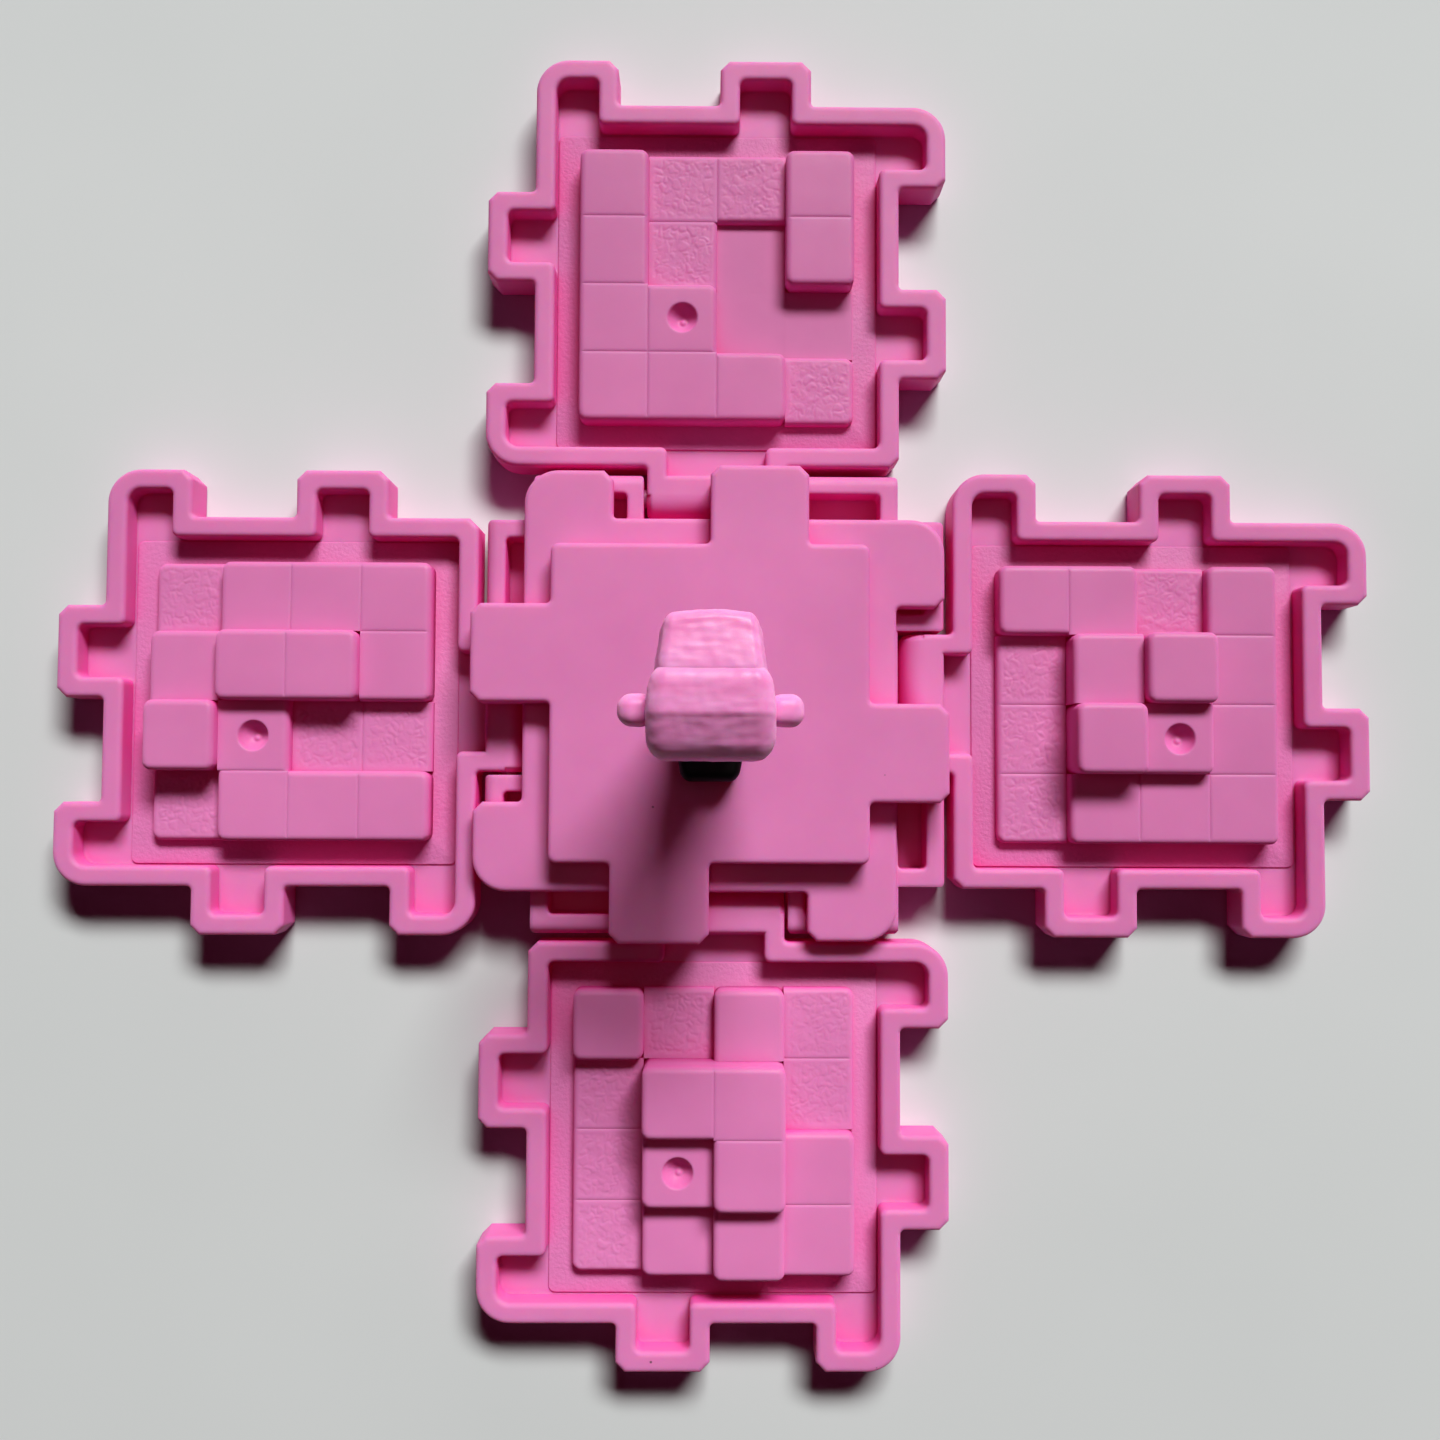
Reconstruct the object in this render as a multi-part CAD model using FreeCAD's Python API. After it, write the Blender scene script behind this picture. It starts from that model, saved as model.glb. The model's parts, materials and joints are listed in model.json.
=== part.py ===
import FreeCAD, Part
import math
import os
from FreeCAD import Rotation, Vector

os.makedirs("parts", exist_ok=True)

# A puzzle cube of six jigsaw-edged faces, opened flat as a cross. The base tray lies in the
# middle, four tray-shaped walls are hinged to its sides, and the sixth face, the lid, lies
# loose on the base with a small blocky figure standing on it.
# Millimetres. +X east, +Y north, +Z up. Origin: centre of the base's underside.

# Cube
CUBE = 50.0                    # outside width of the closed cube
FACE = 5.0                     # thickness of every face, and depth of the jigsaw tabs
HALF = CUBE / 2
EDGE_GAP = 0.15                # between a face's body and the rim of the wall beside it
BODY = HALF - FACE - EDGE_GAP  # half width of a face without its tabs

# Jigsaw tabs, measured along a side from its middle, clockwise seen from inside the cube
CORNER_TAB_END = -10.9         # the corner tab starts at the body's corner and ends here
MIDDLE_TAB_START = 0.3
MIDDLE_TAB_END = 10.25
TAB_CUT = 1.0                  # 45 degree cut on a tab's corners
CUBE_CORNER_RADIUS = 3.6       # on the corner of a tab that stands at a corner of the cube
NOTCH_RADIUS = 0.5             # in the roots between tabs
EDGE_RADIUS = 0.45             # along the rims

# Trays
FLOOR = 2.1
RIM = 2.15
POCKET_RADIUS = 0.7

# Hinges: the axis lies in the middle of the face's thickness
HINGE_RADIUS_OUT = 22.5        # from the base's centre to a hinge axis
HINGE_HEIGHT = FACE / 2
PANEL_START = 25.6             # from the base's centre to a wall's hinge edge
PANEL_LENGTH = 40.0
TONGUE_HALF = 7.5
BARREL_RADIUS = FACE / 2       # flush with the tongue's top and underside
BARREL_CUT = 0.5
PIN_RADIUS = 1.0
PIN_CLEARANCE = 0.06
PIN_HALF = 9.6

# Base
BASE_HALF = 19.65
BASE_RIM = 1.9
BRACKET_OUT = 24.75
BRACKET_START = 7.85
BRACKET_WALL = 1.8
BRACKET_OUTER_WALL = 2.1
BRACKET_FLOOR = 1.4
BRACKET_RADIUS = 1.2           # lets the wall's hinge edge swing past
BRACKET_CORNER = 0.6
RIM_RADIUS = 0.3

# Terrain plates: 4 by 4 square tiles on a thin textured plate
PLATE_HALF = 17.6
PLATE_THICKNESS = 0.2
TILE = 7.5                     # pitch
TILE_GROOVE = 0.12             # between tiles
TILE_EDGE = 0.3
LEVELS = {0: 0.25, 1: 1.3, 2: 3.05, 3: 4.8, 4: 6.55}
GATE_RADIUS = 1.5
GATE_DEPTH = 0.8
# Rows run from north to south, columns from west to east. Each map's third row has one gate.
TERRAIN = {
    "north": ((2, 1, 1, 2), (2, 1, 0, 2), (2, 2, 0, 0), (2, 2, 2, 1)),
    "east": ((2, 2, 1, 2), (1, 3, 4, 2), (1, 4, 3, 2), (1, 2, 2, 2)),
    "south": ((2, 1, 2, 1), (1, 4, 4, 1), (1, 3, 4, 2), (1, 2, 3, 2)),
    "west": ((1, 2, 2, 2), (2, 3, 3, 2), (3, 2, 1, 1), (1, 2, 2, 2)),
}
GATE_ROW = 2
GATE_COLUMN = {"north": 1, "east": 2, "south": 1, "west": 1}

# Lid: two steps, the upper one is the deck that the figure stands on
LID_STEP = 2.1                 # thickness of the lower step
DECK_HALF = 16.7
LID_CORNER_TAB_END = -10.4     # its tabs fill the notches more fully than the walls' tabs
LID_MIDDLE_TAB = (0.0, 10.35)
DECK_RADIUS = 0.9
LID_SHIFT = (-0.6, -0.3)       # the lid lies loose, a little off centre

# Figure: sizes run along X, Y and Z; bottoms and profile heights are above the deck
FIGURE_X = -0.55
FIGURE_Y = -1.5
FIGURE_RADIUS = 0.8
FOOT_SIZE = (6.7, 11.4, 4.0)
FOOT_BACK = -8.5
LEG_SIZE = (7.4, 5.0, 6.0)
TORSO_SIZE = (8.8, 5.6, 10.4)
HEAD_WIDTH = 11.0
HEAD_FRONT = 1.15
HEAD_PROFILE = (               # Y and height, from the top of its front round its sloping back
    (HEAD_FRONT, 32.0), (-2.8, 32.0), (-6.0, 30.6), (-6.8, 28.5),
    (-6.4, 21.0), (-5.4, 20.4), (HEAD_FRONT, 20.4),
)
MUZZLE_SIZE = (8.9, 4.45, 9.6)
MUZZLE_BOTTOM = 21.2
EAR_SIZE = (2.4, 2.8, 3.2)
EAR_Y = -2.6
EAR_BOTTOM = 26.0

TOLERANCE = 1e-4
NEAR = 0.1                     # allowance when edges are picked by where they lie
PAST = 1.0                     # how far a cutter runs past what it cuts
TURNS = {"north": 0, "east": -90, "south": 180, "west": 90}


def turned(shape, side):
    """The shape, built on the north side, carried round to another side."""
    return shape.rotated(Vector(0, 0, 0), Vector(0, 0, 1), TURNS[side])


def box(low, high):
    size = Vector(*high) - Vector(*low)
    return Part.makeBox(size.x, size.y, size.z, Vector(*low))


def inset(corners, distance):
    """A right-angled outline, counterclockwise, with every side moved inwards."""
    moved = []
    for index, (x, y, style) in enumerate(corners):
        before = corners[index - 1]
        after = corners[(index + 1) % len(corners)]
        shift = Vector(0, 0, 0)
        for start, end in ((before, corners[index]), (corners[index], after)):
            along = Vector(end[0] - start[0], end[1] - start[1], 0).normalize()
            shift += Vector(-along.y, along.x, 0) * distance
        moved.append((x + shift.x, y + shift.y, style))
    return moved


def outline(corners, sizes):
    """A closed wire through the corners; sizes maps a corner's style to (kind, size)."""
    ends = []
    for index, (x, y, style) in enumerate(corners):
        kind, size = sizes[style]
        corner = Vector(x, y, 0)
        before = Vector(corners[index - 1][0], corners[index - 1][1], 0)
        following = corners[(index + 1) % len(corners)]
        after = Vector(following[0], following[1], 0)
        back = (before - corner).normalize()
        ahead = (after - corner).normalize()
        middle = corner + (back + ahead) * size * (1 - math.sqrt(0.5))
        ends.append((kind, corner + back * size, middle, corner + ahead * size))
    edges = []
    for index, (kind, entry, middle, leaving) in enumerate(ends):
        if kind == "round":
            edges.append(Part.Arc(entry, middle, leaving).toShape())
        elif kind == "cut":
            edges.append(Part.makeLine(entry, leaving))
        edges.append(Part.makeLine(leaving, ends[(index + 1) % len(ends)][1]))
    return Part.Wire(edges)


def slab(corners, sizes, low, high):
    face = Part.Face(outline(corners, sizes))
    face.translate(Vector(0, 0, low))
    return face.extrude(Vector(0, 0, high - low))


OUTSIDE = {
    "cut": ("cut", TAB_CUT),
    "cube": ("round", CUBE_CORNER_RADIUS),
    "root": ("round", NOTCH_RADIUS),
    "deck": ("round", DECK_RADIUS),
    "sharp": ("sharp", 0.0),
}
INSIDE = {
    "cut": ("round", POCKET_RADIUS),
    "cube": ("round", CUBE_CORNER_RADIUS - RIM),
    "root": ("round", POCKET_RADIUS),
    "sharp": ("sharp", 0.0),
}


def middle_tab(body, tab_end, start=MIDDLE_TAB_START, end=MIDDLE_TAB_END):
    """Corners of the middle tab on a north side, from its east end to its west end."""
    return [(end, body, "root"), (end, tab_end, "cut"),
            (start, tab_end, "cut"), (start, body, "root")]


def corner_tab(body, tab_end, corner, end=CORNER_TAB_END):
    """Corners of the tab at the west end of a north side."""
    return [(end, body, "root"), (end, tab_end, "cut"), (-corner, tab_end, "cube")]


def tab_side(body, tab_end, corner):
    """Corners along a wall's north side, from its east end to its west end."""
    return middle_tab(body, tab_end) + corner_tab(body, tab_end, corner)


def quarter_turned(corners, quarters):
    """Corners turned counterclockwise about the origin."""
    for _ in range(quarters):
        corners = [(-y, x, style) for x, y, style in corners]
    return corners


def panel_corners():
    """A wall's outline in its own square, centred, with the hinge edge to the south."""
    half = PANEL_LENGTH / 2
    tongue_end = HINGE_RADIUS_OUT - PANEL_START - half
    tongue = [
        (-TONGUE_HALF, -half, "root"),
        (-TONGUE_HALF, tongue_end, "sharp"),
        (TONGUE_HALF, tongue_end, "sharp"),
        (TONGUE_HALF, -half, "root"),
        (BODY, -half, "cut"),
    ]
    east = quarter_turned(tab_side(BODY, HALF, half), 3)
    north = tab_side(half, half + FACE, BODY)
    west = quarter_turned(tab_side(BODY, HALF, half), 1)
    return tongue + east + north + west


def flat_edges(shape, height, keep=lambda bounds: True):
    """Every edge of the shape that lies flat at a height."""
    found = []
    for edge in shape.Edges:
        bounds = edge.BoundBox
        flat = max(abs(bounds.ZMin - height), abs(bounds.ZMax - height)) < TOLERANCE
        if flat and keep(bounds):
            found.append(edge)
    return found


def make_barrel():
    """The hinge barrel of the north wall, bored for its pin, its ends cut back a little."""
    start = Vector(-TONGUE_HALF, HINGE_RADIUS_OUT, HINGE_HEIGHT)
    east = Vector(1, 0, 0)
    barrel = Part.makeCylinder(BARREL_RADIUS, 2 * TONGUE_HALF, start, east)
    ends = [edge for edge in barrel.Edges if isinstance(edge.Curve, Part.Circle)]
    return barrel.makeChamfer(BARREL_CUT, ends)


def make_panel():
    """One wall, lying open on the north side: floor, rim, tongue and hinge barrel."""
    corners = panel_corners()
    tray = slab(corners, OUTSIDE, 0, FACE)
    tray = tray.cut(slab(inset(corners, RIM), INSIDE, FLOOR, FACE + PAST))
    tray.translate(Vector(0, PANEL_START + PANEL_LENGTH / 2, 0))
    beyond_barrel = HINGE_RADIUS_OUT + BARREL_RADIUS / 2
    hinge_edge = PANEL_START - NEAR
    tray = tray.cut(box((-HALF, 0, -PAST), (HALF, HINGE_RADIUS_OUT, FACE + PAST)))
    tray = tray.makeFillet(EDGE_RADIUS, flat_edges(tray, FACE, lambda b: b.YMax > beyond_barrel))
    tray = tray.makeFillet(EDGE_RADIUS, flat_edges(tray, 0, lambda b: b.YMin > hinge_edge))
    bore = Part.makeCylinder(PIN_RADIUS + PIN_CLEARANCE, 2 * HALF,
                             Vector(-HALF, HINGE_RADIUS_OUT, HINGE_HEIGHT), Vector(1, 0, 0))
    return tray.fuse(make_barrel()).cut(bore).removeSplitter()


def make_pin():
    start = Vector(-PIN_HALF, HINGE_RADIUS_OUT, HINGE_HEIGHT)
    return Part.makeCylinder(PIN_RADIUS, 2 * PIN_HALF, start, Vector(1, 0, 0))


def rounded_rectangle(low, high, radius):
    """Corners and sizes of a rectangular outline."""
    corners = [(low[0], low[1], "corner"), (high[0], low[1], "corner"),
               (high[0], high[1], "corner"), (low[0], high[1], "corner")]
    return corners, {"corner": ("round", radius)}


def rounded_square(half, radius):
    return rounded_rectangle((-half, -half), (half, half), radius)


def make_bracket(east_sign):
    """A hinge bracket on the base's north side, still solid; it runs a little into the base."""
    low = BRACKET_START if east_sign > 0 else -BASE_HALF
    high = BASE_HALF if east_sign > 0 else -BRACKET_START
    inner = BASE_HALF - BASE_RIM / 2
    footprint = rounded_rectangle((low, inner), (high, BRACKET_OUT), BRACKET_CORNER)
    bar = box((low, inner, 0), (high, BRACKET_OUT, FACE))
    outermost = BRACKET_OUT - NEAR
    bar = bar.makeFillet(BRACKET_RADIUS, flat_edges(bar, FACE, lambda b: b.YMin > outermost))
    bar = bar.makeFillet(EDGE_RADIUS, flat_edges(bar, 0, lambda b: b.YMin > outermost))
    return bar.common(slab(*footprint, 0, FACE))


def make_base():
    """The middle tray: a square pan with two hollow hinge brackets on each side."""
    base = slab(*rounded_square(BASE_HALF, NOTCH_RADIUS), 0, FACE)
    pockets = [slab(*rounded_square(BASE_HALF - BASE_RIM, POCKET_RADIUS), FLOOR, FACE + PAST)]
    pin_hole = make_pin()
    for side in TURNS:
        for east_sign in (-1, 1):
            base = base.fuse(turned(make_bracket(east_sign), side))
            near = BRACKET_START + BRACKET_WALL
            far = BASE_HALF - BASE_RIM
            low, high = sorted((east_sign * near, east_sign * far))
            outline_corners = rounded_rectangle(
                (low, BASE_HALF), (high, BRACKET_OUT - BRACKET_OUTER_WALL), NOTCH_RADIUS)
            pockets.append(turned(slab(*outline_corners, BRACKET_FLOOR, FACE + PAST), side))
        pockets.append(turned(pin_hole, side))
    base = base.removeSplitter()
    for pocket in pockets:
        base = base.cut(pocket)
    inner = BRACKET_OUT - BRACKET_RADIUS - NEAR
    rims = flat_edges(base, FACE, lambda b: max(-b.XMin, b.XMax, -b.YMin, b.YMax) < inner)
    return base.makeFillet(RIM_RADIUS, rims)


def make_terrain(side):
    """A textured plate with its sixteen tiles, as high as the side's map says."""
    reach = PANEL_START + PANEL_LENGTH / 2
    centre = Rotation(Vector(0, 0, 1), TURNS[side]).multVec(Vector(0, reach, 0))
    bottom = FLOOR
    top = FLOOR + PLATE_THICKNESS
    plate = slab(*rounded_square(PLATE_HALF, POCKET_RADIUS), bottom, top)
    for row, levels in enumerate(TERRAIN[side]):
        for column, level in enumerate(levels):
            x = (column - 1.5) * TILE
            y = (1.5 - row) * TILE
            half = (TILE - TILE_GROOVE) / 2
            height = top + LEVELS[level]
            tile = box((x - half, y - half, bottom), (x + half, y + half, height))
            tile = tile.makeFillet(TILE_EDGE, flat_edges(tile, height))
            if row == GATE_ROW and column == GATE_COLUMN[side]:
                mouth = Vector(x, y, height)
                down = Vector(0, 0, -1)
                gate = Part.makeCone(GATE_RADIUS, GATE_RADIUS / 2, GATE_DEPTH, mouth, down)
                tile = tile.cut(gate)
            plate = plate.fuse(tile)
    plate = plate.removeSplitter()
    plate.translate(Vector(centre.x, centre.y, 0))
    return plate


def make_lid():
    """The loose sixth face: a lower step with four corner tabs, and a deck with middle tabs."""
    lower_corners = []
    deck_corners = []
    for quarters in range(4):
        lower = corner_tab(BODY, HALF, BODY, end=LID_CORNER_TAB_END)
        deck = [(DECK_HALF, DECK_HALF, "deck")] + middle_tab(DECK_HALF, HALF, *LID_MIDDLE_TAB)
        lower_corners += quarter_turned(lower, quarters)
        deck_corners += quarter_turned(deck, quarters)
    lid = slab(lower_corners, OUTSIDE, 0, LID_STEP)
    lid = lid.makeFillet(EDGE_RADIUS, flat_edges(lid, 0) + flat_edges(lid, LID_STEP))
    deck = slab(deck_corners, OUTSIDE, 0, FACE)
    deck = deck.makeFillet(EDGE_RADIUS, flat_edges(deck, 0) + flat_edges(deck, FACE))
    lid = lid.fuse(deck).removeSplitter()
    lid.translate(Vector(*LID_SHIFT, FACE))
    return lid


def soft_box(x, y, size, bottom, radius=FIGURE_RADIUS):
    """A box centred on x and y, standing at a height, with all its edges rounded."""
    low = (x - size[0] / 2, y - size[1] / 2, bottom)
    high = (x + size[0] / 2, y + size[1] / 2, bottom + size[2])
    block = box(low, high)
    return block.makeFillet(radius, block.Edges)


def make_head(deck):
    """The back of the figure's head: a block with a sloping back."""
    points = [Vector(FIGURE_X - HEAD_WIDTH / 2, y, deck + height) for y, height in HEAD_PROFILE]
    head = Part.Face(Part.makePolygon(points + points[:1])).extrude(Vector(HEAD_WIDTH, 0, 0))
    sides = [edge for edge in head.Edges if edge.BoundBox.XLength < TOLERANCE]
    return head.makeFillet(FIGURE_RADIUS, sides)


def make_figure():
    """The figure's parts, standing on the lid's deck."""
    deck = 2 * FACE
    legs_bottom = deck + FOOT_SIZE[2]
    torso_bottom = legs_bottom + LEG_SIZE[2]
    foot_y = FOOT_BACK + FOOT_SIZE[1] / 2
    muzzle_y = HEAD_FRONT + MUZZLE_SIZE[1] / 2
    parts = {
        "figure_foot": soft_box(FIGURE_X, foot_y, FOOT_SIZE, deck),
        "figure_legs": soft_box(FIGURE_X, FIGURE_Y, LEG_SIZE, legs_bottom),
        "figure_torso": soft_box(FIGURE_X, FIGURE_Y, TORSO_SIZE, torso_bottom),
        "figure_head": make_head(deck),
        "figure_muzzle": soft_box(FIGURE_X, muzzle_y, MUZZLE_SIZE, deck + MUZZLE_BOTTOM),
    }
    ear_x = (HEAD_WIDTH + EAR_SIZE[0]) / 2
    for name, x in (("west", FIGURE_X - ear_x), ("east", FIGURE_X + ear_x)):
        parts["figure_ear_" + name] = soft_box(x, EAR_Y, EAR_SIZE, deck + EAR_BOTTOM)
    return parts


def main():
    nodes = {"base_tray": make_base(), "lid_plate": make_lid()}
    panel = make_panel()
    pin = make_pin()
    for side in TURNS:
        nodes["wall_panel_" + side] = turned(panel, side)
        nodes["hinge_pin_" + side] = turned(pin, side)
        nodes["terrain_plate_" + side] = make_terrain(side)
    nodes.update(make_figure())
    for name, shape in nodes.items():
        print(name, shape.isValid(), len(shape.Solids), round(shape.Volume, 2))
        shape.exportStep("parts/" + name + ".step")


main()
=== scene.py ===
import json
import math

import bpy
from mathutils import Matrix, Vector, noise


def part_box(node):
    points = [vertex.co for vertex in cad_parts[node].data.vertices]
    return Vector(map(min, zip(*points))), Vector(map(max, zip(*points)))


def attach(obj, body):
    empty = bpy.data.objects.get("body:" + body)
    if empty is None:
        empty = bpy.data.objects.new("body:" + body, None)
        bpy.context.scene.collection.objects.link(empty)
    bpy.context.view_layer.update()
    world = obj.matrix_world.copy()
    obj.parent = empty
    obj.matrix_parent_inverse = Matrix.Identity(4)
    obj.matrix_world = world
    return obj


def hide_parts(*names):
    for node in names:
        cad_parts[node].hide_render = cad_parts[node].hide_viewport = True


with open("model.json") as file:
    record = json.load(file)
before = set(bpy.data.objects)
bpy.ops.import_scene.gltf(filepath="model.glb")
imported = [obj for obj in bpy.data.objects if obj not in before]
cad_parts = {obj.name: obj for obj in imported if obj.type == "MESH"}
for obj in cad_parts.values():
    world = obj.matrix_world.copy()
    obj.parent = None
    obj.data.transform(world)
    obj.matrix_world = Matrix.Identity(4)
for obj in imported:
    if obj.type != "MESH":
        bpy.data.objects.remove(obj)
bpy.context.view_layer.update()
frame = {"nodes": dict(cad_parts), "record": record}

MM = 0.001

# Camera: nearly straight down from just south of the middle; millimetres and degrees
CAMERA_PLACE = (-0.8, -9.1, 159.4)
CAMERA_TURN = (2.68, -0.50, 0.235)
LENS = 36.0
SENSOR = 36.0
NEAREST = 0.001         # metres

# Key light, a wide window: degrees above the horizon and east of north, metres, watts
KEY_ELEVATION = 43.0
KEY_BEARING = 19.0
KEY_DISTANCE = 5.0
KEY_SIZE = (2.5, 1.15)
KEY_POWER = 260.0
KEY_COLOUR = (1.0, 0.985, 0.965)

# Glow, a faint rosy light from overhead, for what pink walls throw into each other's shadows
GLOW_PLACE = (0.0, 0.0, 2.0)
GLOW_SIZE = (4.0, 4.0)
GLOW_POWER = 2.2
GLOW_COLOUR = (1.0, 0.04, 0.22)

# Ceiling, seen only as a soft sheen
CEILING_PLACE = (0.0, 0.05, 0.8)
CEILING_SIZE = (0.7, 0.7)
CEILING_POWER = 0.6
CEILING_COLOUR = (0.94, 0.96, 1.0)

BACKDROP = (0.62, 0.62, 0.62)
PAPER_DEEP = (0.70, 0.755, 0.755)
PAPER_LIGHT = (0.74, 0.795, 0.795)
FLOOR_HALF = 1500.0     # millimetres

# Plastics: the two ends of each colour's faint clouds
PINK_DEEP = (0.77, 0.29, 0.59)
PINK_LIGHT = (0.82, 0.32, 0.63)
FIGURE_DEEP = (1.0, 0.35, 0.70)
FIGURE_LIGHT = (1.0, 0.45, 0.79)
BLACK_DEEP = (0.002, 0.0015, 0.0015)
BLACK_LIGHT = (0.004, 0.003, 0.003)

# Painted shade: pink deepened in hollows and on steep faces, for shade there and for light that pink
# walls pass on to each other
PAINTED_SHADE_PINK = (0.80, 0.045, 0.37)
PAINTED_SHADE_REACH = 0.0045           # metres; walls nearer than this deepen the colour
PAINTED_SHADE_RANGE = (0.05, 0.6)      # share of the sky that leaves the deep colour, and the open one
UPRIGHT_UNSHADED_SHARE = 0.55              # how much of the open colour is left on an upright face
PAINTED_GLOW = (1.0, 0.0, 0.14)   # painted glow: a faint even red emission, for the little light that the plastic passes on into its gaps
PAINTED_GLOW_STRENGTH = 0.022

# Dust specks: cells per metre, radii as shares of a cell, share of the cells without one
DUST_CELLS = 170.0
DUST_RADII = (0.035, 0.02)
DUST_FREE = 0.86
DUST_COLOUR = (0.12, 0.06, 0.08)

# Terrain reliefs: 4 by 4 tiles a side, rows from north to south, columns from west to east
SIDES = ("north", "east", "south", "west")
TILE = 7.5
PLATE_THICKNESS = 0.2
LEVELS = {0: 0.25, 1: 1.3, 2: 3.05, 3: 4.8, 4: 6.55}
TERRAIN = {
    "north": ((2, 1, 1, 2), (2, 1, 0, 2), (2, 2, 0, 0), (2, 2, 2, 1)),
    "east": ((2, 2, 1, 2), (1, 3, 4, 2), (1, 4, 3, 2), (1, 2, 2, 2)),
    "south": ((2, 1, 2, 1), (1, 4, 4, 1), (1, 3, 4, 2), (1, 2, 3, 2)),
    "west": ((1, 2, 2, 2), (2, 3, 3, 2), (3, 2, 1, 1), (1, 2, 2, 2)),
}
LEATHER_LEVEL = 1
GATE_ROW = 2
GATE_COLUMN = {"north": 1, "east": 2, "south": 1, "west": 1}
GATE_RADIUS = 1.75
GATE_DEPTH = 1.5
NUB_PLACE = (0.1, -0.2)
NUB_HEIGHT = 0.3
NUB_RADIUS = 0.5
EDGE_OPEN = 0.65        # rounding of a tile's edge above a lower neighbour
EDGE_GROOVE = 0.3       # width of the slope into the groove beside an equal tile
GROOVE_DEPTH = 0.08
CORNER_OPEN = 0.95      # rounding, seen from above, of a free corner
CROWN = 0.05            # how far a tile's top falls towards its edges
LEATHER_DEPTH = 0.075
PEBBLE = 1.0            # across one pebble of the leather grain
CREASE = 0.4            # width of the crease round a pebble, as a share of it
PEBBLE_SEED = 7         # noise_vector is drawn from the clock unless it is seeded
PLATE_CORNER = 0.7
PLATE_EDGE = ((0.0, 0.12), (0.04, 0.035), (0.12, 0.0))  # inset and drop, up the softened edge
SINK = 0.05             # how far a tile reaches down into its plate
FINISHES = ("smooth", "grained", "leather", "thin")


def slot_of(node):
    """The material slot that the record gives a CAD node."""
    for part in frame["record"]["subparts"]:
        if part["node"] == node:
            return part["material_slot"]
    return None


def paint(node, material):
    """Gives a CAD node a new material in all its slots."""
    piece = frame["nodes"][node]
    for slot in piece.material_slots:
        slot.material = material


def make_object(name, vertices, faces, materials, face_materials=None):
    """An object from vertices in millimetres."""
    mesh = bpy.data.meshes.new(name)
    mesh.from_pydata([Vector(v) * MM for v in vertices], [], faces)
    for material in materials:
        mesh.materials.append(material)
    if face_materials:
        mesh.polygons.foreach_set("material_index", face_materials)
    mesh.polygons.foreach_set("use_smooth", [True] * len(mesh.polygons))
    mesh.validate()
    piece = bpy.data.objects.new(name, mesh)
    bpy.context.scene.collection.objects.link(piece)
    return piece


# ---------------------------------------------------------------- materials

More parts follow.
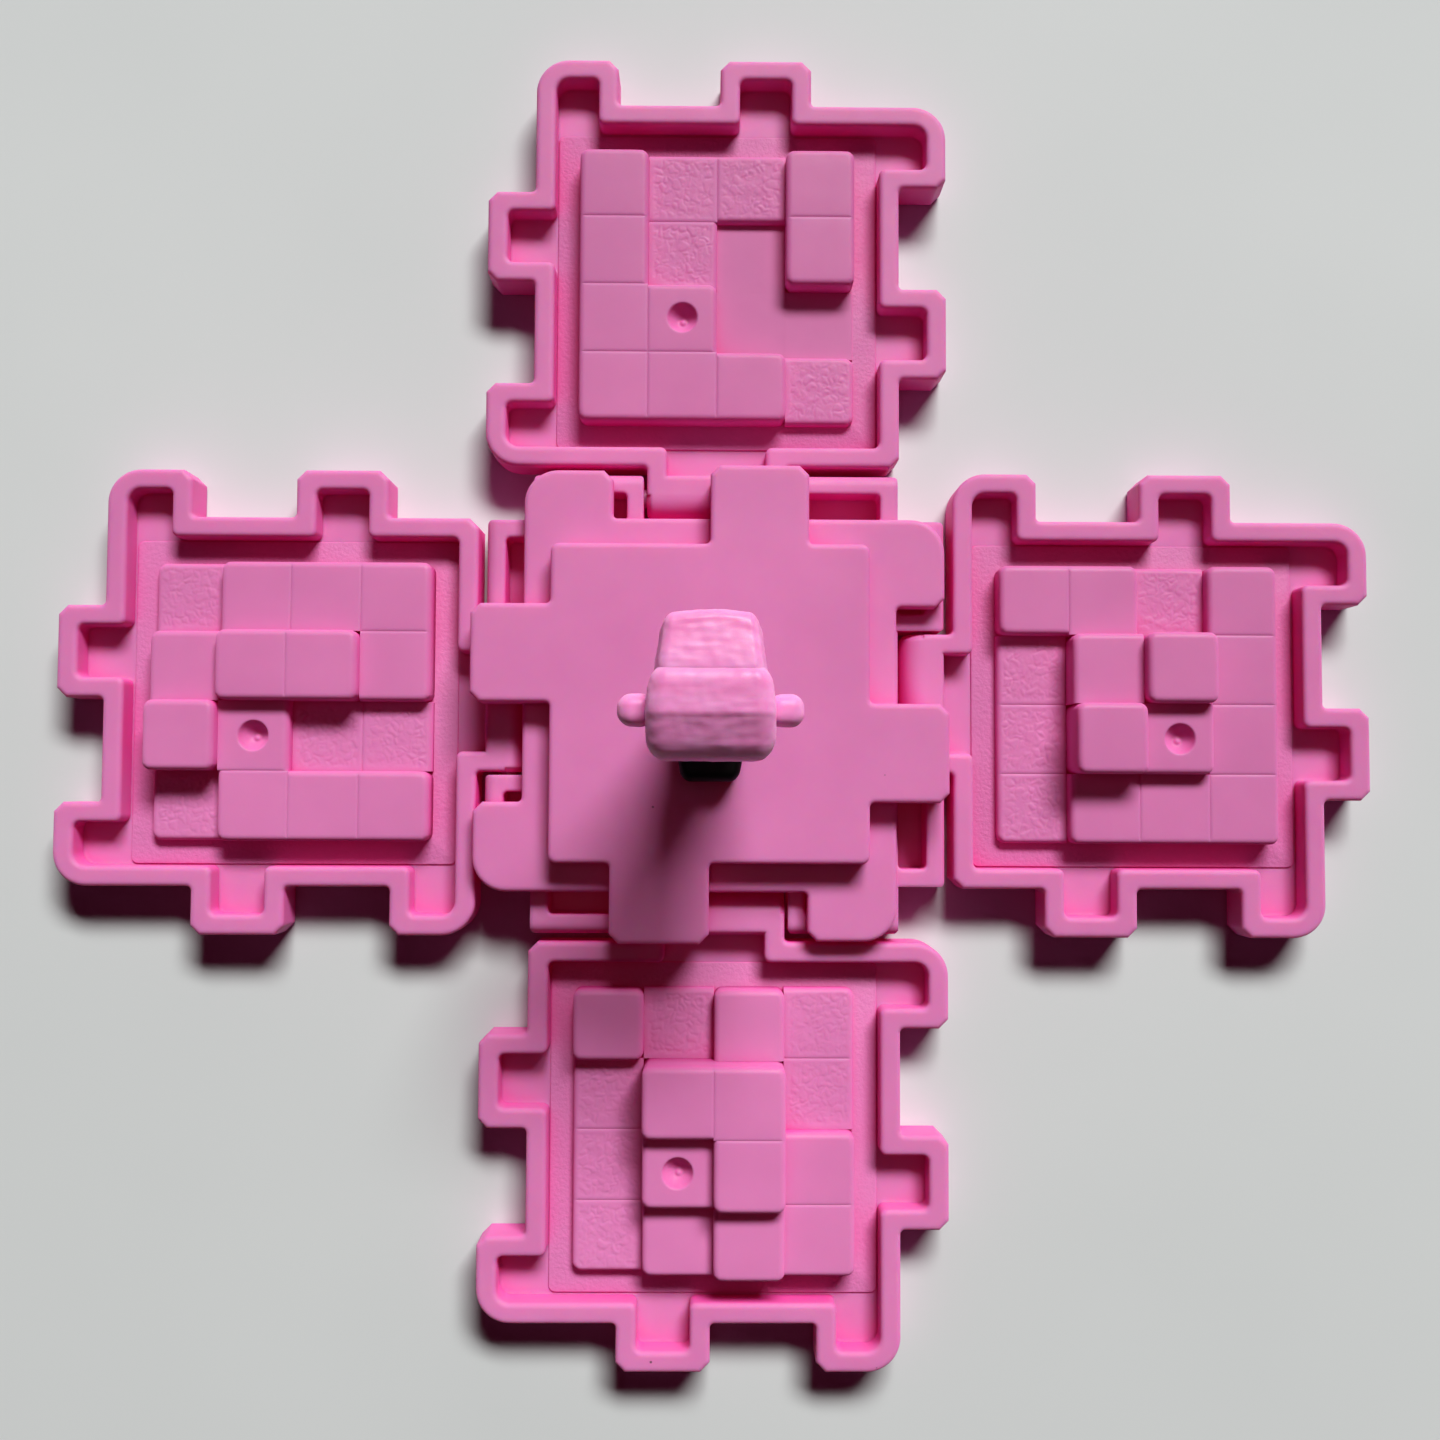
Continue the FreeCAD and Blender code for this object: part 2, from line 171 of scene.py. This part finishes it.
class Nodes:
    """Short calls for building a material's nodes."""

    def __init__(self, name):
        self.material = bpy.data.materials.new(name)
        self.material.use_nodes = True
        self.tree = self.material.node_tree
        self.shader = self.tree.nodes["Principled BSDF"]
        self.place = self.add("ShaderNodeTexCoord").outputs["Object"]

    def add(self, kind, **settings):
        node = self.tree.nodes.new(kind)
        for key, value in settings.items():
            if key in node.inputs:
                node.inputs[key].default_value = value
            else:
                setattr(node, key, value)
        return node

    def link(self, output, target):
        self.tree.links.new(output, target)

    def noise(self, scale, detail=3.0, roughness=0.5, stretch=None):
        """Noise with features about 1/scale of a metre across."""
        node = self.add("ShaderNodeTexNoise", Scale=scale, Detail=detail, Roughness=roughness)
        place = self.place
        if stretch:
            mapping = self.add("ShaderNodeMapping", Scale=stretch)
            self.link(place, mapping.inputs["Vector"])
            place = mapping.outputs["Vector"]
        self.link(place, node.inputs["Vector"])
        return node.outputs["Fac"]

    def ramp(self, value, low, high, low_at=0.3, high_at=0.7):
        node = self.add("ShaderNodeValToRGB")
        ends = node.color_ramp.elements
        ends[0].position, ends[0].color = low_at, (*low, 1)
        ends[1].position, ends[1].color = high_at, (*high, 1)
        self.link(value, node.inputs["Fac"])
        return node.outputs["Color"]

    def span(self, value, low, high, start=0.3, end=0.7):
        """The value, carried over from start and end to low and high."""
        node = self.add("ShaderNodeMapRange")
        ends = {"From Min": start, "From Max": end, "To Min": low, "To Max": high}
        for name, place in ends.items():
            node.inputs[name].default_value = place
        self.link(value, node.inputs["Value"])
        return node.outputs["Result"]

    def calculate(self, operation, first, second=None):
        """The result of a sum on a socket, with or without a second socket or number."""
        node = self.add("ShaderNodeMath", operation=operation)
        self.link(first, node.inputs[0])
        if isinstance(second, float):
            node.inputs[1].default_value = second
        elif second is not None:
            self.link(second, node.inputs[1])
        return node.outputs["Value"]

    def mix(self, share, first, second):
        """The first colour where the share is 0, and the second where it is 1."""
        node = self.add("ShaderNodeMix", data_type="RGBA")
        self.link(share, node.inputs["Factor"])
        for name, colour in (("A", first), ("B", second)):
            if isinstance(colour, tuple):
                node.inputs[name].default_value = (*colour, 1)
            else:
                self.link(colour, node.inputs[name])
        return node.outputs["Result"]

    def dusted(self, colour):
        """The colour with a rare dark speck of dust on it."""
        cells = self.add("ShaderNodeTexVoronoi", Scale=DUST_CELLS, Randomness=1.0)
        self.link(self.place, cells.inputs["Vector"])
        edge, core = DUST_RADII
        near = self.span(cells.outputs["Distance"], 0, 1, start=edge, end=core)
        split = self.add("ShaderNodeSeparateColor")
        self.link(cells.outputs["Color"], split.inputs["Color"])
        rare = self.calculate("GREATER_THAN", split.outputs["Red"], DUST_FREE)
        return self.mix(self.calculate("MULTIPLY", near, rare), colour, DUST_COLOUR)

    def with_painted_shade(self, colour, deep):
        """The colour with painted shade: deeper in hollows and on steep faces, for shade and for
        light that pink walls pass on.
        """
        painted_hollow_shade = self.add("ShaderNodeAmbientOcclusion", samples=6, Distance=PAINTED_SHADE_REACH)
        deepest, widest = PAINTED_SHADE_RANGE
        openness = self.span(painted_hollow_shade.outputs["AO"], 0, 1, start=deepest, end=widest)
        split = self.add("ShaderNodeSeparateXYZ")
        self.link(self.add("ShaderNodeTexCoord").outputs["Normal"], split.inputs["Vector"])
        level = self.calculate("ABSOLUTE", split.outputs["Z"])
        flatness = self.span(level, UPRIGHT_UNSHADED_SHARE, 1, start=0, end=1)
        return self.mix(self.calculate("MULTIPLY", openness, flatness), deep, colour)

    def bump(self, height, distance, strength=1.0, under=None):
        node = self.add("ShaderNodeBump", Strength=strength, Distance=distance)
        self.link(height, node.inputs["Height"])
        if under is not None:
            self.link(under, node.inputs["Normal"])
        return node.outputs["Normal"]


def moulded_plastic(name, deep, light, rough=(0.5, 0.6), grain=0.0, grain_size=0.0003,
                    glow=0.35, shine=0.5, clouds=90, stretch=None, soften=0.0, painted_hollow_shade=None):
    """Satin, slightly translucent moulded plastic; sizes are in metres.

    Grain is the depth of a spark-eroded texture, clouds the number of colour patches to a metre,
    soften the radius that sharp edges seem to have, and painted_hollow_shade the painted shade colour
    in hollows and on steep faces.
    """
    nodes = Nodes(name)
    shader = nodes.shader
    colour = nodes.ramp(nodes.noise(clouds, detail=4, stretch=stretch), deep, light)
    # Painted shade: the colour deepens in hollows and on steep faces
    if painted_hollow_shade:
        colour = nodes.with_painted_shade(colour, painted_hollow_shade)
    nodes.link(nodes.dusted(colour), shader.inputs["Base Color"])
    smears = nodes.noise(600, detail=5, roughness=0.65)
    nodes.link(nodes.span(smears, *rough), shader.inputs["Roughness"])
    edges = None
    if soften:
        edges = nodes.add("ShaderNodeBevel", samples=4, Radius=soften).outputs["Normal"]
    flow = nodes.bump(nodes.noise(260, detail=2), 0.00006, 0.5, under=edges)
    normal = nodes.bump(nodes.noise(4000, detail=2), 0.000008, 0.5, under=flow)
    if grain:
        texture = nodes.noise(1 / grain_size, detail=3, roughness=0.6)
        normal = nodes.bump(texture, grain, 1.0, under=normal)
    nodes.link(normal, shader.inputs["Normal"])
    shader.inputs["Diffuse Roughness"].default_value = 1.0
    shader.inputs["Subsurface Weight"].default_value = glow
    shader.inputs["Subsurface Radius"].default_value = (1.0, 0.12, 0.35)
    shader.inputs["Subsurface Scale"].default_value = 0.0016
    shader.inputs["Specular IOR Level"].default_value = shine
    # Painted glow: a faint even red emission, standing in for light passed on into gaps
    if painted_hollow_shade:
        shader.inputs["Emission Color"].default_value = (*PAINTED_GLOW, 1)
        shader.inputs["Emission Strength"].default_value = PAINTED_GLOW_STRENGTH
    return nodes.material


def relief_materials():
    """One material for each of the finishes, in their order."""
    settings = {
        "smooth": {"glow": 0.2},
        "grained": {"rough": (0.55, 0.65), "grain": 0.0001, "grain_size": 0.0004, "glow": 0.05},
        "leather": {"rough": (0.52, 0.64), "grain": 0.000015, "glow": 0.2},
        "thin": {"glow": 0.05},
    }
    return [moulded_plastic("relief_" + finish, PINK_DEEP, PINK_LIGHT, painted_hollow_shade=PAINTED_SHADE_PINK,
                            **settings[finish])
            for finish in FINISHES]


# ---------------------------------------------------------------- terrain

def rounding(distance, radius):
    """How far an edge has dropped, at a distance in from the side: rounded, or sloped to a groove."""
    if distance >= radius:
        return 0.0
    if radius == EDGE_GROOVE:
        return GROOVE_DEPTH * (1 - distance / radius) ** 2
    return radius - math.sqrt(max(0.0, radius ** 2 - (radius - distance) ** 2))


def smooth_step(value, low, high):
    t = min(1.0, max(0.0, (value - low) / (high - low)))
    return t * t * (3 - 2 * t)


def wrinkle(x, y):
    """Depth, 0 to 1, of leather-like wrinkles: narrow creases round uneven pebbles."""
    place = Vector((x, y, 5.0)) / PEBBLE
    distances, _ = noise.voronoi(place + 0.6 * noise.noise_vector(1.3 * place))
    crease = 1 - smooth_step(distances[1] - distances[0], 0.0, CREASE)
    return crease * (0.7 + 0.6 * noise.noise(0.7 * place))


def gate(x, y):
    """Depth of a bowl-shaped gate mark with a small nub in it."""
    across = min(1.0, math.hypot(x, y) / GATE_RADIUS)
    bowl = GATE_DEPTH * (1 - across ** 2.2) * (1 - smooth_step(across, 0.8, 1.0))
    from_nub = math.hypot(x - NUB_PLACE[0], y - NUB_PLACE[1])
    nub = NUB_HEIGHT * (1 - smooth_step(from_nub, 0.1, NUB_RADIUS))
    return bowl - nub


def grid_lines(half, spacing):
    """Places from side to side, closer together where the edges are rounded."""
    near = [0.0, 0.015, 0.05, 0.11, 0.18, 0.26, 0.36, 0.48, 0.6, 0.75]
    inner = half - near[-1]
    steps = max(1, round(2 * inner / spacing))
    middle = [-inner + 2 * inner * k / steps for k in range(1, steps)]
    return [d - half for d in near] + middle + [half - d for d in reversed(near)]


def edge_radius(level, neighbour):
    """Rounding of a tile's edge: none under a taller tile or between two pads."""
    if neighbour < level:
        return EDGE_OPEN if level else EDGE_GROOVE
    return EDGE_GROOVE if neighbour == level and level else 0.0


def corner_place(u, v, radii):
    """A point of a tile's grid, drawn in where it is at a free corner, to round it."""
    half = TILE / 2
    a = 1 - (half - abs(u)) / CORNER_OPEN
    b = 1 - (half - abs(v)) / CORNER_OPEN
    free = EDGE_OPEN == radii[0 if u > 0 else 1] == radii[2 if v > 0 else 3]
    if not free or a <= 0 or b <= 0:
        return u, v
    scale = max(a, b) / math.hypot(a, b)
    x = math.copysign(half - CORNER_OPEN * (1 - a * scale), u)
    y = math.copysign(half - CORNER_OPEN * (1 - b * scale), v)
    return x, y


def tile_drop(u, v, radii):
    """How far a tile's top has dropped at a grid point: its edges and its slight crown."""
    half = TILE / 2
    gaps = (half - u, half + u, half - v, half + v)
    drop = max(rounding(gap, radius) for gap, radius in zip(gaps, radii))
    for place, ends in ((u, radii[:2]), (v, radii[2:])):
        if ends[place < 0]:
            drop += CROWN * (place / half) ** 4
    return drop


def grid_rim(start, count):
    """The numbers of the vertices round a square grid, in order."""
    last = count - 1
    south = [start + i for i in range(last)]
    east = [start + last + j * count for j in range(last)]
    north = [start + last * count + i for i in range(last, 0, -1)]
    west = [start + j * count for j in range(last, 0, -1)]
    return south + east + north + west


def make_tile(centre, bottom, height, radii, finish, has_gate, vertices, faces):
    """One tile; radii are the roundings of its east, west, north and south edges."""
    half = TILE / 2
    leather = finish == "leather"
    lines = grid_lines(half, 0.11 if leather or has_gate else 0.8)
    count = len(lines)
    start = len(vertices)
    for v in lines:
        for u in lines:
            x, y = corner_place(u, v, radii)
            z = height - tile_drop(u, v, radii)
            if leather:
                inside = smooth_step(half - max(abs(u), abs(v)), 0.3, 0.8)
                z -= LEATHER_DEPTH * inside * wrinkle(centre[0] + x, centre[1] + y)
            if has_gate:
                z -= gate(x, y)
            vertices.append((centre[0] + x, centre[1] + y, z))
    for j in range(count - 1):
        for i in range(count - 1):
            low = start + j * count + i
            faces.append((low, low + 1, low + count + 1, low + count))
    rim = grid_rim(start, count)
    base = len(vertices)
    for index in rim:
        x, y, _ = vertices[index]
        vertices.append((x, y, bottom))
    around = len(rim)
    for k in range(around):
        after = (k + 1) % around
        faces.append((rim[k], base + k, base + after, rim[after]))
    faces.append(tuple(base + k for k in reversed(range(around))))


def plate_ring(low, high, inset, z):
    """A ring of points round the plate, at an inset from its outline."""
    ring = []
    reach = PLATE_CORNER - inset
    for turn in range(4):
        x = high.x - PLATE_CORNER if turn in (0, 3) else low.x + PLATE_CORNER
        y = high.y - PLATE_CORNER if turn in (0, 1) else low.y + PLATE_CORNER
        for step in range(5):
            angle = math.radians(90 * turn + 22.5 * step)
            ring.append((x + reach * math.cos(angle), y + reach * math.sin(angle), z))
    return ring


def make_plate(low, high, top, vertices, faces):
    """The thin grained plate under the tiles, with softened edges."""
    levels = [(0.0, low.z)] + [(inset, top - drop) for inset, drop in PLATE_EDGE]
    start = len(vertices)
    for inset, z in levels:
        vertices.extend(plate_ring(low, high, inset, z))
    around = (len(vertices) - start) // len(levels)
    for level in range(len(levels) - 1):
        for k in range(around):
            a = start + level * around + k
            b = start + level * around + (k + 1) % around
            faces.append((a, b, b + around, a + around))
    last = start + (len(levels) - 1) * around
    faces.append(tuple(range(last, last + around)))
    faces.append(tuple(reversed(range(start, start + around))))


def tile_finish(level):
    if level == LEATHER_LEVEL:
        return "leather"
    return "thin" if level < LEATHER_LEVEL else "smooth"


def make_terrain(side, materials):
    """The relief of one wall: a grained plate and its tiles."""
    node = "terrain_plate_" + side
    low, high = (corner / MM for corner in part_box(node))
    top = low.z + PLATE_THICKNESS
    middle = (low + high) / 2
    rows = TERRAIN[side]
    vertices, faces = [], []
    make_plate(low, high, top, vertices, faces)
    finishes = [FINISHES.index("grained")] * len(faces)

    def level_at(row, column):
        inside = 0 <= row < 4 and 0 <= column < 4
        return rows[row][column] if inside else -1

    for row in range(4):
        for column in range(4):
            level = rows[row][column]
            centre = (middle.x + (column - 1.5) * TILE, middle.y + (1.5 - row) * TILE)
            around = (level_at(row, column + 1), level_at(row, column - 1),
                      level_at(row - 1, column), level_at(row + 1, column))
            radii = [edge_radius(level, other) for other in around]
            finish = tile_finish(level)
            has_gate = (row, column) == (GATE_ROW, GATE_COLUMN[side])
            before = len(faces)
            make_tile(centre, top - SINK, top + LEVELS[level], radii, finish, has_gate,
                      vertices, faces)
            finishes += [FINISHES.index(finish)] * (len(faces) - before)
    piece = make_object("relief_" + side, vertices, faces, materials, finishes)
    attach(piece, "wall_" + side)
    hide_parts(node)


# ---------------------------------------------------------------- figure

X_AXIS, Y_AXIS = 0, 1
HEAD_TOP = 3.95         # from the head's front to the crease where its top starts to fall
HEAD_SLOPE = 0.45


def axis_lines(low, high, radius, spacing):
    """Places along one axis of a block; near its ends they space a rounded edge evenly."""
    near = [radius * (1 - math.tan(math.radians(45 - 9 * k))) for k in range(6)]
    inner = high - low - 2 * radius
    steps = max(1, round(inner / spacing))
    middle = [low + radius + inner * k / steps for k in range(1, steps)]
    return [low + d for d in near] + middle + [high - d for d in reversed(near)]


def rounded_block(low, high, radius, spacing):
    """Vertices and faces of a box with rounded edges and an even grid on every side."""
    lines = [axis_lines(low[axis], high[axis], radius, spacing) for axis in range(3)]
    ends = [len(line) - 1 for line in lines]
    numbers = {}
    vertices = []
    faces = []

    def vertex(key):
        if key not in numbers:
            point = Vector(lines[axis][key[axis]] for axis in range(3))
            core = Vector(min(max(point[axis], low[axis] + radius), high[axis] - radius)
                          for axis in range(3))
            numbers[key] = len(vertices)
            vertices.append(core + (point - core).normalized() * radius)
        return numbers[key]

    for axis in range(3):
        across, along = (axis + 1) % 3, (axis + 2) % 3
        for end in (0, ends[axis]):
            for a in range(ends[across]):
                for b in range(ends[along]):
                    corners = [(a, b), (a + 1, b), (a + 1, b + 1), (a, b + 1)]
                    if end == 0:
                        corners.reverse()
                    face = []
                    for p, q in corners:
                        key = [end, end, end]
                        key[across], key[along] = p, q
                        face.append(vertex(tuple(key)))
                    faces.append(tuple(face))
    return vertices, faces


def carve(piece, depth):
    """Moves the surface in and out a little, in streaks along X, like a tooled master."""
    mesh = piece.data
    normals = [vertex.normal.copy() for vertex in mesh.vertices]
    for vertex, normal in zip(mesh.vertices, normals):
        x, y, z = vertex.co / MM
        streaks = noise.noise(Vector((x * 0.45, y * 2.6, z * 2.6)))
        dents = noise.noise(Vector((x * 1.3 + 7, y * 1.3, z * 1.3)))
        vertex.co += normal * (streaks + dents) * depth * MM


def figure_block(node, radius, spacing, shape, material, depth=0.05, grow=0.0, reach=None):
    """A detailed block in the place of a CAD block; reach is a stretch into its neighbour."""
    low, high = (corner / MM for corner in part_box(node))
    for axis, amount in (reach or {}).items():
        if amount < 0:
            low[axis] += amount
        else:
            high[axis] += amount
    middle = (low + high) / 2
    half = (high - low) / 2
    spread = Vector((grow, grow, grow))
    vertices, faces = rounded_block(low - spread, high + spread, radius, spacing)
    shaped = [shape((point - middle), half) + middle for point in vertices]
    piece = make_object(node.replace("figure", "toy"), shaped, faces, [material])
    carve(piece, depth)
    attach(piece, "figure")
    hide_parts(node)


def head_shape(point, half):
    """Sloping top at the back, sides drawn in towards the front and the top."""
    x, y, z = point
    crease = half.y - HEAD_TOP
    slope = max(0.0, crease - y)
    soft = slope * smooth_step(slope, 0.0, 0.5)
    share = (z + half.z) / (2 * half.z)
    z -= share * soft * HEAD_SLOPE
    z += (1 - share) * smooth_step(-y, half.y - 2.0, half.y) * 0.7
    width = 1.015 - 0.09 * smooth_step(y, crease, half.y + 0.5) - 0.03 * share
    width -= 0.03 * smooth_step(-y, half.y - 2.5, half.y)
    return Vector((x * width, y, z))


def dimple(x, z, centre_x, centre_z, radius):
    return 1 - smooth_step(math.hypot(x - centre_x, z - centre_z), radius * 0.2, radius)


def muzzle_shape(point, half):
    """A snout block, drawn in towards its front and top, with plain dimples for eyes and mouth."""
    x, y, z = point
    share = (z + half.z) / (2 * half.z)
    front = smooth_step(y, -half.y, half.y)
    width = 1.12 - 0.16 * share - 0.11 * front
    z += share * (0.6 - 0.75 * front)
    y -= 0.4 * front * (x / half.x) ** 2
    if point.y > half.y * 0.9:
        y -= 0.4 * dimple(abs(x), z, 1.9, 1.2, 0.75)
        y -= 0.2 * dimple(x * 0.5, z, 0.0, -1.9, 0.6)
    return Vector((x * width, y, z))


def ear_shape(point, half):
    """A knob, a little fuller at its outer end."""
    return Vector((point.x, point.y * (1 + 0.03 * point.x / half.x), point.z))


def body_shape(point, half):
    """Sides drawn in towards the top."""
    share = (point.z + half.z) / (2 * half.z)
    return Vector((point.x * (1 - 0.08 * share), point.y * (1 - 0.08 * share), point.z))


def legs_shape(point, half):
    """Two legs, parted by a groove down the front and the back."""
    x, y, z = point
    groove = math.exp(-(x / 0.35) ** 2)
    return Vector((x, y * (1 - 0.12 * groove), z))


def foot_shape(point, half):
    """A shoe-like block, rounded at the toe and drawn in towards its sole."""
    x, y, z = point
    share = (z + half.z) / (2 * half.z)
    toe = smooth_step(-y, half.y * 0.55, half.y)
    return Vector((x * (0.93 + 0.07 * share - 0.10 * toe), y, z))


def make_toy(pink, black):
    figure_block("figure_head", 1.55, 0.2, head_shape, pink, depth=0.045)
    figure_block("figure_muzzle", 0.9, 0.2, muzzle_shape, pink, depth=0.045, grow=0.15,
                 reach={Y_AXIS: -1.0})
    for side, reach in (("west", 0.7), ("east", -0.7)):
        figure_block("figure_ear_" + side, 1.2, 0.25, ear_shape, pink, depth=0.015,
                     reach={X_AXIS: reach})
    figure_block("figure_torso", 1.0, 0.3, body_shape, pink, depth=0.03, grow=0.2)
    figure_block("figure_legs", 0.8, 0.2, legs_shape, pink, depth=0.03, grow=0.1)
    figure_block("figure_foot", 1.1, 0.3, foot_shape, black, depth=0.01)


# ---------------------------------------------------------------- stage

def make_floor():
    """A plain sheet of pale paper."""
    paper = Nodes("floor_paper")
    shade = paper.ramp(paper.noise(14, detail=3), PAPER_DEEP, PAPER_LIGHT)
    paper.link(shade, paper.shader.inputs["Base Color"])
    paper.shader.inputs["Roughness"].default_value = 0.85
    paper.shader.inputs["Specular IOR Level"].default_value = 0.2
    turns = ((-1, -1), (1, -1), (1, 1), (-1, 1))
    corners = [(x * FLOOR_HALF, y * FLOOR_HALF, 0) for x, y in turns]
    make_object("floor", corners, [(0, 1, 2, 3)], [paper.material])


def make_light(name, power, place, size, colour, only_gloss=False):
    """A rectangular light aimed at the object; sizes in metres."""
    data = bpy.data.lights.new(name, "AREA")
    data.energy = power
    data.color = colour
    data.shape = "RECTANGLE"
    data.size, data.size_y = size
    light = bpy.data.objects.new(name, data)
    light.location = place
    light.rotation_euler = (-Vector(place)).to_track_quat("-Z", "Y").to_euler()
    light.visible_diffuse = not only_gloss
    bpy.context.scene.collection.objects.link(light)


def make_lights():
    elevation = math.radians(KEY_ELEVATION)
    bearing = math.radians(KEY_BEARING)
    level = math.cos(elevation)
    towards = Vector((level * math.sin(bearing), level * math.cos(bearing), math.sin(elevation)))
    make_light("key", KEY_POWER, KEY_DISTANCE * towards, KEY_SIZE, KEY_COLOUR)
    make_light("glow", GLOW_POWER, GLOW_PLACE, GLOW_SIZE, GLOW_COLOUR)
    make_light("ceiling", CEILING_POWER, CEILING_PLACE, CEILING_SIZE, CEILING_COLOUR,
               only_gloss=True)


def make_backdrop():
    """A pale backdrop that lights nothing."""
    world = bpy.data.worlds.new("studio")
    bpy.context.scene.world = world
    world.use_nodes = True
    world.node_tree.nodes["Background"].inputs["Color"].default_value = (*BACKDROP, 1)
    for kind in ("diffuse", "glossy", "transmission", "scatter"):
        setattr(world.cycles_visibility, kind, False)


def make_camera():
    data = bpy.data.cameras.new("camera")
    data.lens = LENS
    data.sensor_width = SENSOR
    data.clip_start = NEAREST
    camera = bpy.data.objects.new("camera", data)
    camera.location = Vector(CAMERA_PLACE) * MM
    camera.rotation_euler = [math.radians(angle) for angle in CAMERA_TURN]
    bpy.context.scene.collection.objects.link(camera)
    bpy.context.scene.camera = camera


# ---------------------------------------------------------------- the object

def main():
    noise.seed_set(PEBBLE_SEED)
    pink = moulded_plastic("pink_plastic", PINK_DEEP, PINK_LIGHT, glow=0.5, soften=0.0006,
                           painted_hollow_shade=PAINTED_SHADE_PINK)
    pin = moulded_plastic("pin_plastic", PINK_DEEP, PINK_LIGHT, rough=(0.25, 0.35))
    figure_pink = moulded_plastic("figure_pink", FIGURE_DEEP, FIGURE_LIGHT, rough=(0.36, 0.5),
                                  clouds=520, stretch=(0.5, 1.4, 1.0))
    black = moulded_plastic("black_plastic", BLACK_DEEP, BLACK_LIGHT, glow=0.0, shine=0.25)
    relief = relief_materials()
    by_slot = {"pink_plastic": pink, "pink_relief": relief[0], "pin_plastic": pin,
               "figure_pink": figure_pink, "figure_black": black}
    for node in frame["nodes"]:
        paint(node, by_slot[slot_of(node)])
    for side in SIDES:
        make_terrain(side, relief)
    make_toy(figure_pink, black)
    make_floor()
    make_lights()
    make_backdrop()
    make_camera()
    bpy.context.scene.view_settings.view_transform = "Standard"
    bpy.context.scene.view_settings.look = "Medium High Contrast"


main()
